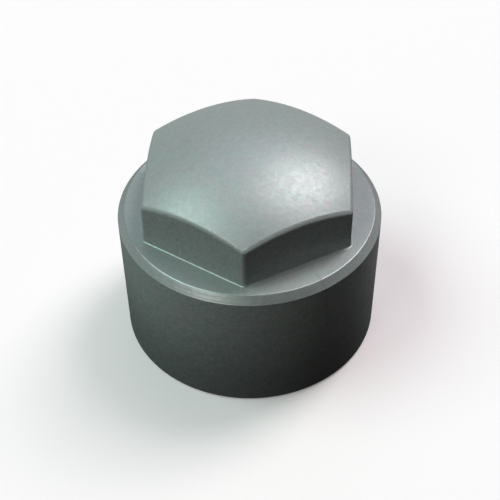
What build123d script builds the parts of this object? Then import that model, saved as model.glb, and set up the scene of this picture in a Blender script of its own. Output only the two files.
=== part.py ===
"""Wheel nut cover cap: a round skirt that pushes over a hexagon wheel nut, closed by a
smaller six-sided head with a domed top. One moulded piece of plastic.

Millimetres and degrees. The origin is the centre of the open rim, +Z runs up the cap's
axis towards the dome, and one corner of the head points along -Y.
"""
import os
from math import cos, radians, tan

from build123d import *

# The nut that the cap goes over
nut_across_flats = 19.0
nut_corner_clearance = 0.28
rib_squeeze = 0.05

# Skirt and the ledge that closes it
skirt_wall = 1.75
skirt_height = 14.6
rim_chamfer = 0.25
ledge_thickness = 1.6
ledge_chamfer_width = 0.65
ledge_chamfer_height = 0.7
ledge_edge_radius = 0.2

# Mouth, wider than the bore above it so that it passes the collar at the nut's foot
mouth_relief = 0.3
mouth_depth = 4.0
mouth_chamfer = 0.4

# Grip ribs, one on each flat of the nut
rib_width = 1.2
rib_lead_in_angle = 40.0

# Head
ledge_width_at_corners = 1.63
head_corner_height = 4.25
dome_rise = 3.35
head_wall = 1.5
head_draft = 0.5
head_edge_radius = 0.5
head_foot_radius = 0.15
cavity_corner_radius = 0.5

# Sizes that follow from those above
SIDES = 6
HALF_TURN = 180 / SIDES
FLAT_TO_CORNER = 1 / cos(radians(HALF_TURN))

bore_radius = nut_across_flats / 2 * FLAT_TO_CORNER + nut_corner_clearance
bore_foot_z = mouth_depth + mouth_relief
mouth_radius = bore_radius + mouth_relief
skirt_radius = bore_radius + skirt_wall
ceiling_z = skirt_height - ledge_thickness

rib_tip = nut_across_flats / 2 - rib_squeeze
rib_root = bore_radius + skirt_wall / 2
rib_lead_in_slope = tan(radians(rib_lead_in_angle))

head_corner = skirt_radius - ledge_width_at_corners
head_apothem = head_corner / FLAT_TO_CORNER
cavity_apothem = head_apothem - head_wall + ledge_thickness * tan(radians(head_draft))
apex_z = skirt_height + head_corner_height + dome_rise
dome_radius = (head_corner**2 + dome_rise**2) / (2 * dome_rise)
dome_centre_z = apex_z - dome_radius


def domed_hexagon(apothem, foot_z, ball_radius):
    """A drafted hexagon block standing at foot_z, with its top cut to a ball round the dome's centre."""
    hexagon = RegularPolygon(apothem, SIDES, major_radius=False, rotation=HALF_TURN)
    prism = extrude(Pos(0, 0, foot_z) * hexagon, apex_z - foot_z, taper=head_draft)
    # The ball lies on its side, which keeps its poles and its seam clear of the dome.
    ball = Pos(0, 0, dome_centre_z) * Rot(0, 90, 0) * Sphere(ball_radius)
    return prism & ball


def upright_edges(block):
    """The six edges of a domed hexagon where two flats meet."""
    return block.edges().filter_by(lambda edge: abs((edge % 0.5).Z) > cos(radians(HALF_TURN)))


def make_skirt():
    """The skirt and its closed ledge, turned from one half section."""
    section = make_face(
        Polyline(
            (mouth_radius + mouth_chamfer, 0),
            (skirt_radius, 0),
            (skirt_radius, skirt_height - ledge_chamfer_height),
            (skirt_radius - ledge_chamfer_width, skirt_height),
            (0, skirt_height),
            (0, ceiling_z),
            (bore_radius, ceiling_z),
            (bore_radius, bore_foot_z),
            (mouth_radius, mouth_depth),
            (mouth_radius, mouth_chamfer),
            close=True,
        )
    )
    rim_corner = section.vertices().group_by(Axis.Y)[0].sort_by(Axis.X)[-1]
    section = chamfer(rim_corner, rim_chamfer)
    ledge_edge = section.vertices().group_by(Axis.Y)[-1].sort_by(Axis.X)[-1]
    section = fillet(ledge_edge, ledge_edge_radius)
    return revolve(Plane.XZ * section, Axis.Z)


def make_head():
    """The solid six-sided head, its corners and its dome's edge rounded alike."""
    head = domed_hexagon(head_apothem, skirt_height, dome_radius)
    dome_edges = head.faces().filter_by(GeomType.SPHERE).edges()
    return fillet(upright_edges(head) + dome_edges, head_edge_radius)


def make_cavity():
    """The room inside the head, a wall's thickness from its flats and its dome."""
    cavity = domed_hexagon(cavity_apothem, ceiling_z, dome_radius - head_wall)
    return fillet(upright_edges(cavity), cavity_corner_radius)


def make_ribs():
    """Upright ribs in the bore that press on the nut's flats, each with a sloped lead-in."""
    side = make_face(
        Polyline(
            (rib_tip, ceiling_z),
            (rib_root, ceiling_z),
            (rib_root, bore_foot_z),
            (bore_radius, bore_foot_z),
            (rib_tip, bore_foot_z + (bore_radius - rib_tip) / rib_lead_in_slope),
            close=True,
        )
    )
    rib = extrude(Plane.XZ * side, rib_width / 2, both=True)
    return PolarLocations(0, SIDES) * rib


def make_cap():
    """The whole cap."""
    cap = make_skirt() + make_head()
    foot = cap.edges().filter_by_position(Axis.Z, skirt_height, skirt_height)
    cap = fillet(foot.filter_by(lambda edge: edge.bounding_box().size.X < skirt_radius), head_foot_radius)
    return cap - make_cavity() + make_ribs()


os.makedirs("parts", exist_ok=True)
export_step(make_cap(), "parts/cover_cap.step")
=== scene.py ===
"""Looks of the wheel nut cover cap: satin silver-grey plastic with a fine fleck, on a pale studio floor.

Metres, in the cap's own frame: the origin is the centre of the open rim, +Z runs up the axis and one
corner of the six-sided head points along -Y, towards the camera.
"""
import math

import bpy
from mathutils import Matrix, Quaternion, Vector

MM = 0.001

# Camera, with its angles in degrees, its sensor and lens in millimetres
AIM = Vector((0.0, 0.0, 8.09 * MM))
VIEW_AZIMUTH = 2.97
VIEW_ELEVATION = 44.91
VIEW_DISTANCE = 110.73 * MM
VIEW_ROLL = -0.69
SENSOR_WIDTH = 36.0
LENS = 77.62
CLIP_SPAN = 100

# Oval soft lamps: azimuth and elevation seen from the cap, half the angle across and along, and the light
# that each gives to a level white card, where 1 shows the card as white
LAMP_DISTANCE = 1.5
LAMPS = {
    "key": {
        "azimuth": 135, "elevation": 54, "half_angles": (11.5, 17),
        "card": 0.478, "colour": (1.07, 0.95, 0.98),
    },
    "top": {
        "azimuth": 147, "elevation": 75, "half_angles": (12, 12),
        "card": 0.048, "colour": (1.08, 1.0, 0.92),
    },
    "back": {
        "azimuth": 180, "elevation": 58, "half_angles": (24, 24),
        "card": 0.117, "colour": (0.92, 0.95, 1.13),
    },
    "left": {
        "azimuth": -82, "elevation": 56, "half_angles": (22, 14),
        "card": 0.397, "colour": (0.88, 1.09, 1.03),
    },
    "front": {
        "azimuth": -32, "elevation": 40, "half_angles": (9, 9),
        "card": 0.072, "colour": (1.09, 0.98, 0.93),
    },
}

# Light from all round, and the backdrop: its brightness, and the sines of the elevations where it
# starts to fade and ends
AMBIENT = 0.004
BACKDROP = 0.5
BACKDROP_FADE = (0.15, 0.5)

# Floor: length of a side, tone for light that bounces off it, and tone and glow for the eye
FLOOR_SIDE = 3.0
FLOOR_BOUNCE = 0.02
FLOOR_TONE = (0.765, 0.752, 0.75, 1.0)
FLOOR_GLOW = 0.2

# The rest is the plastic, with lengths in millimetres and angles in degrees.
# Heights and radii of the ledge, of its chamfer and of the head's corners
LEDGE_Z = 14.6
CHAMFER_FOOT_Z = 13.9
CHAMFER_INNER_RADIUS = 12.25
HEAD_RADIUS = 11.4

# Where the finish changes, by height, by radius and by the upward part of a face's normal
EDGE_END_Z = (LEDGE_Z + 0.1, LEDGE_Z + 0.2)
CHAMFER_Z = (CHAMFER_FOOT_Z - 0.02, CHAMFER_FOOT_Z + 0.05)
CHAMFER_RADIUS = (CHAMFER_INNER_RADIUS - 0.05, CHAMFER_INNER_RADIUS + 0.05)
UPRIGHT_TO_TOP = (0.2, 0.5)
UPRIGHT_TO_EDGE = (0.2, 0.45)
EDGE_TO_FLAT = (0.95, 0.99)

# Colour: depths are for upright faces and for tops
PLASTIC_TONES = ((0.384, 0.412, 0.408, 1.0), (0.357, 0.428, 0.413, 1.0))
DRIFT = {"size": 1.0, "detail": 4.0}
DRIFT_SPREAD = (0.3, 0.7)
PATCH = {"size": 0.5, "detail": 2.0}
PATCH_DEPTHS = (0.35, 0.18)
FLECK_SIZE = 0.13
FLECK_DEPTHS = (0.24, 0.1)
# Painted shade: the skirt's colour darkens towards its rim, down to this share at the very bottom
PAINTED_RIM_SHADE = 0.45

# Gloss
SPECULAR = 0.05
EDGE_TINT = (0.1, 0.1, 0.1, 1.0)
SIDE_ROUGHNESS, TOP_ROUGHNESS, EDGE_ROUGHNESS = 0.88, 0.44, 0.4
SIDE_METAL, TOP_METAL, EDGE_METAL = 0.0, 0.37, 0.6
MOTTLE = {"size": 0.6, "detail": 1.0}
MOTTLE_DEPTH = 0.35
GLINT_SPREAD = (0.5, 1.0)
GLINT_METAL = (0.9375, 1.25)

# Relief: mould grain, and turned rings on the chamfer
GRAIN = {"size": 0.5, "detail": 3.0}
GRAIN_HEIGHT = 0.012
RING_PITCH = 0.26
RING_HEIGHT = 0.0022

# Faint scratches outside the head: the bearing at a height or radius, its turn for each millimetre
# along that, and the heights between which the mark comes in
SCRATCHES = (
    {
        "along": "height", "place": CHAMFER_FOOT_Z, "bearing": -55, "turn": -0.47,
        "comes_in": (7, 10), "strength": 1.0,
    },
    {
        "along": "radius", "place": HEAD_RADIUS, "bearing": -91, "turn": 1.8,
        "comes_in": (CHAMFER_FOOT_Z - 0.1, CHAMFER_FOOT_Z), "strength": 1.0,
    },
    {
        "along": "height", "place": CHAMFER_FOOT_Z, "bearing": -88, "turn": -6.5,
        "comes_in": (10.8, 13.5), "strength": 0.6,
    },
)
SCRATCH_RADIUS = (HEAD_RADIUS - 0.1, HEAD_RADIUS + 0.1)
SCRATCH_WIDTH = 0.18
SCRATCH_DARKENING = 0.14
SCRATCH_ROUGHENING = 0.1


def set_input(tree, target, value):
    """Links a socket to an input socket, or sets the input to a plain value."""
    if isinstance(value, bpy.types.NodeSocket):
        tree.links.new(value, target)
    else:
        target.default_value = value


def add_node(tree, kind, **sockets):
    """A new node in the tree, with its input sockets set or linked by name."""
    node = tree.nodes.new(kind)
    for name, value in sockets.items():
        set_input(tree, node.inputs[name.replace("_", " ")], value)
    return node


def maths(tree, operation, *values):
    """The result of a Math node on sockets or numbers."""
    node = tree.nodes.new("ShaderNodeMath")
    node.operation = operation
    for target, value in zip(node.inputs, values):
        set_input(tree, target, value)
    return node.outputs[0]


def product(tree, first, second):
    return maths(tree, "MULTIPLY", first, second)


def ramp(tree, value, start, end, low=0.0, high=1.0):
    """A smooth change from low to high while the value goes from start to end."""
    node = add_node(
        tree, "ShaderNodeMapRange", Value=value, From_Min=start, From_Max=end, To_Min=low, To_Max=high
    )
    node.interpolation_type = "SMOOTHSTEP"
    return node.outputs[0]


def blend(tree, amount, low, high):
    """Between two numbers or number sockets, by an amount from 0 to 1."""
    return add_node(tree, "ShaderNodeMix", Factor=amount, A=low, B=high).outputs["Result"]


def scaled(tree, vector, factor):
    """A vector or colour times a number."""
    node = tree.nodes.new("ShaderNodeVectorMath")
    node.operation = "SCALE"
    tree.links.new(vector, node.inputs["Vector"])
    set_input(tree, node.inputs["Scale"], factor)
    return node.outputs["Vector"]


def noise(tree, spot, size, detail):
    return add_node(tree, "ShaderNodeTexNoise", Vector=spot, Scale=1 / size, Detail=detail).outputs["Fac"]


def about_one(tree, value, depth):
    """A value from 0 to 1 turned into a factor that swings about 1, by a depth from end to end."""
    return maths(tree, "MULTIPLY_ADD", maths(tree, "SUBTRACT", value, 0.5), depth, 1.0)


def seen_by_eye(tree):
    """1 for rays that show the surface itself: from the camera, in a reflection or through glass."""
    path = add_node(tree, "ShaderNodeLightPath")
    mirrored = maths(tree, "MAXIMUM", path.outputs["Is Glossy Ray"], path.outputs["Is Transmission Ray"])
    return maths(tree, "MAXIMUM", path.outputs["Is Camera Ray"], mirrored)


def grey(level):
    return (level, level, level, 1.0)


def scratches(tree, radius, height, bearing):
    """How much a spot lies on one of the scratches, from 0 to 1."""
    marks = 0.0
    for mark in SCRATCHES:
        along = height if mark["along"] == "height" else radius
        start = math.radians(mark["bearing"] - mark["turn"] * mark["place"])
        way = maths(tree, "MULTIPLY_ADD", along, math.radians(mark["turn"]), start)
        aside = maths(tree, "ABSOLUTE", product(tree, maths(tree, "SUBTRACT", bearing, way), radius))
        line = ramp(tree, aside, 0.0, SCRATCH_WIDTH, 1.0, 0.0)
        line = product(tree, line, ramp(tree, height, *mark["comes_in"], 0.0, mark["strength"]))
        marks = maths(tree, "MAXIMUM", marks, line)
    return product(tree, marks, ramp(tree, radius, *SCRATCH_RADIUS))


def plastic_material():
    """Satin silver-grey plastic: upward faces are glossy and partly metallic, upright ones dull."""
    material = bpy.data.materials.new("satin_silver_plastic")
    material.use_nodes = True
    tree = material.node_tree
    shader = tree.nodes["Principled BSDF"]
    shader.inputs["Specular IOR Level"].default_value = SPECULAR
    shader.inputs["Specular Tint"].default_value = EDGE_TINT

    place = add_node(tree, "ShaderNodeTexCoord").outputs
    spot = scaled(tree, place["Object"], 1 / MM)
    x, y, height = add_node(tree, "ShaderNodeSeparateXYZ", Vector=spot).outputs
    upward = add_node(tree, "ShaderNodeSeparateXYZ", Vector=place["Normal"]).outputs["Z"]
    radius = maths(tree, "SQRT", maths(tree, "ADD", product(tree, x, x), product(tree, y, y)))
    bearing = maths(tree, "ARCTAN2", y, x)

    # Where the tops, the ledge's rounded edges, its chamfer and the scratches are
    on_top = ramp(tree, upward, *UPRIGHT_TO_TOP)
    tilted = product(tree, ramp(tree, upward, *UPRIGHT_TO_EDGE), ramp(tree, upward, *EDGE_TO_FLAT, 1.0, 0.0))
    on_edge = product(tree, tilted, ramp(tree, height, *EDGE_END_Z, 1.0, 0.0))
    on_chamfer = product(tree, ramp(tree, height, *CHAMFER_Z), ramp(tree, radius, *CHAMFER_RADIUS))
    marks = scratches(tree, radius, height, bearing)

    # Colour: two close tones that drift into each other, patches, a fine fleck and painted shade low on the
    # skirt
    cells = add_node(tree, "ShaderNodeTexVoronoi", Vector=spot, Scale=1 / FLECK_SIZE)
    chance = add_node(tree, "ShaderNodeSeparateColor", Color=cells.outputs["Color"]).outputs
    tone = tree.nodes.new("ShaderNodeMix")
    tone.data_type = "RGBA"
    tree.links.new(ramp(tree, noise(tree, spot, **DRIFT), *DRIFT_SPREAD), tone.inputs["Factor"])
    tone.inputs["A"].default_value, tone.inputs["B"].default_value = PLASTIC_TONES
    fleck = about_one(tree, chance["Red"], blend(tree, on_top, *FLECK_DEPTHS))
    patches = about_one(tree, noise(tree, spot, **PATCH), blend(tree, on_top, *PATCH_DEPTHS))
    # Painted shade: the colour darkens from the ledge down to the rim of the skirt
    level = product(tree, product(tree, fleck, patches), ramp(tree, height, 0.0, LEDGE_Z, PAINTED_RIM_SHADE, 1.0))
    level = product(tree, level, maths(tree, "MULTIPLY_ADD", marks, -SCRATCH_DARKENING, 1.0))
    tree.links.new(scaled(tree, tone.outputs["Result"], level), shader.inputs["Base Color"])

    # Gloss by the way a face looks, mottled, with bright specks
    roughness = blend(tree, on_edge, blend(tree, on_top, SIDE_ROUGHNESS, TOP_ROUGHNESS), EDGE_ROUGHNESS)
    roughness = product(tree, roughness, about_one(tree, noise(tree, spot, **MOTTLE), MOTTLE_DEPTH))
    roughness = maths(tree, "MULTIPLY_ADD", marks, SCRATCH_ROUGHENING, roughness)
    tree.links.new(roughness, shader.inputs["Roughness"])
    metal = blend(tree, on_edge, blend(tree, on_top, SIDE_METAL, TOP_METAL), EDGE_METAL)
    glint = ramp(tree, chance["Green"], *GLINT_SPREAD, *GLINT_METAL)
    tree.links.new(product(tree, metal, glint), shader.inputs["Metallic"])

    # Relief: mould grain all over, and turned rings on the chamfer
    wave = maths(tree, "SINE", product(tree, radius, math.tau / RING_PITCH))
    rings = product(tree, product(tree, wave, on_chamfer), RING_HEIGHT)
    relief = maths(tree, "MULTIPLY_ADD", noise(tree, spot, **GRAIN), GRAIN_HEIGHT, rings)
    bump = add_node(tree, "ShaderNodeBump", Strength=1.0, Distance=MM, Height=relief)
    tree.links.new(bump.outputs["Normal"], shader.inputs["Normal"])
    return material


def floor_material():
    """Pale floor: it glows softly to the eye, so that it shows nearly white, and keeps the cap's shadow."""
    material = bpy.data.materials.new("pale_floor")
    material.use_nodes = True
    tree = material.node_tree
    tree.nodes.clear()
    bounce = add_node(tree, "ShaderNodeBsdfDiffuse", Color=grey(FLOOR_BOUNCE))
    tone = add_node(tree, "ShaderNodeBsdfDiffuse", Color=FLOOR_TONE)
    glow = add_node(tree, "ShaderNodeEmission", Color=grey(1.0), Strength=FLOOR_GLOW)
    shown = tree.nodes.new("ShaderNodeAddShader")
    tree.links.new(tone.outputs[0], shown.inputs[0])
    tree.links.new(glow.outputs[0], shown.inputs[1])
    mix = add_node(tree, "ShaderNodeMixShader", Fac=seen_by_eye(tree))
    tree.links.new(bounce.outputs[0], mix.inputs[1])
    tree.links.new(shown.outputs[0], mix.inputs[2])
    output = tree.nodes.new("ShaderNodeOutputMaterial")
    tree.links.new(mix.outputs[0], output.inputs["Surface"])
    return material


def make_floor():
    mesh = bpy.data.meshes.new("floor")
    reach = FLOOR_SIDE / 2
    corners = [(-reach, -reach, 0), (reach, -reach, 0), (reach, reach, 0), (-reach, reach, 0)]
    mesh.from_pydata(corners, [], [(0, 1, 2, 3)])
    mesh.materials.append(floor_material())
    floor = bpy.data.objects.new("floor", mesh)
    bpy.context.scene.collection.objects.link(floor)


def make_world():
    """Faint, even light from all round. Low down, the eye sees a pale backdrop behind the floor."""
    world = bpy.data.worlds.new("studio")
    bpy.context.scene.world = world
    world.use_nodes = True
    tree = world.node_tree
    tree.nodes.clear()
    way = add_node(tree, "ShaderNodeTexCoord").outputs["Generated"]
    rise = add_node(tree, "ShaderNodeSeparateXYZ", Vector=way).outputs["Z"]
    backdrop = product(tree, ramp(tree, rise, *BACKDROP_FADE, BACKDROP, 0.0), seen_by_eye(tree))
    strength = maths(tree, "MAXIMUM", backdrop, AMBIENT)
    light = add_node(tree, "ShaderNodeBackground", Color=grey(1.0), Strength=strength)
    output = tree.nodes.new("ShaderNodeOutputWorld")
    tree.links.new(light.outputs[0], output.inputs["Surface"])


def direction(azimuth, elevation):
    """The way from the cap to a camera or lamp, at an azimuth and elevation in degrees."""
    azimuth, elevation = math.radians(azimuth), math.radians(elevation)
    level = math.cos(elevation)
    return Vector((math.sin(azimuth) * level, -math.cos(azimuth) * level, math.sin(elevation)))


def make_lamp(name, azimuth, elevation, half_angles, card, colour):
    """An oval soft lamp that faces the cap, its first half angle level."""
    way = direction(azimuth, elevation)
    data = bpy.data.lights.new(name, "AREA")
    data.shape = "ELLIPSE"
    data.size, data.size_y = (2 * LAMP_DISTANCE * math.tan(math.radians(angle)) for angle in half_angles)
    data.energy = card * (math.pi * LAMP_DISTANCE) ** 2 / way.z
    data.color = colour
    lamp = bpy.data.objects.new(name, data)
    lamp.location = AIM + way * LAMP_DISTANCE
    lamp.rotation_mode = "QUATERNION"
    lamp.rotation_quaternion = way.to_track_quat("Z", "Y")
    lamp.visible_camera = False
    bpy.context.scene.collection.objects.link(lamp)


def make_camera():
    data = bpy.data.cameras.new("camera")
    data.sensor_width = SENSOR_WIDTH
    data.lens = LENS
    data.clip_start = VIEW_DISTANCE / CLIP_SPAN
    data.clip_end = VIEW_DISTANCE * CLIP_SPAN
    camera = bpy.data.objects.new("camera", data)
    back = direction(VIEW_AZIMUTH, VIEW_ELEVATION)
    camera.location = AIM + back * VIEW_DISTANCE
    camera.rotation_mode = "QUATERNION"
    roll = Quaternion((0, 0, 1), math.radians(VIEW_ROLL))
    camera.rotation_quaternion = (-back).to_track_quat("-Z", "Y") @ roll
    bpy.context.scene.collection.objects.link(camera)
    bpy.context.scene.camera = camera


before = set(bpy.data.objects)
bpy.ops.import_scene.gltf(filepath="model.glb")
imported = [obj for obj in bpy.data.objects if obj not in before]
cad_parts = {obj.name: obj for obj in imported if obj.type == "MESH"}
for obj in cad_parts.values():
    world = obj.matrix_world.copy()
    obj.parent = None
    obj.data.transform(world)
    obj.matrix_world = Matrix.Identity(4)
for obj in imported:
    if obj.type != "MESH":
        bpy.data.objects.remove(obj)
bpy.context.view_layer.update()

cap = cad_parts["cover_cap"]
cap.data.materials.clear()
cap.data.materials.append(plastic_material())

make_floor()
make_world()
for name, lamp in LAMPS.items():
    make_lamp(name, **lamp)
make_camera()
bpy.context.scene.view_settings.view_transform = "Standard"
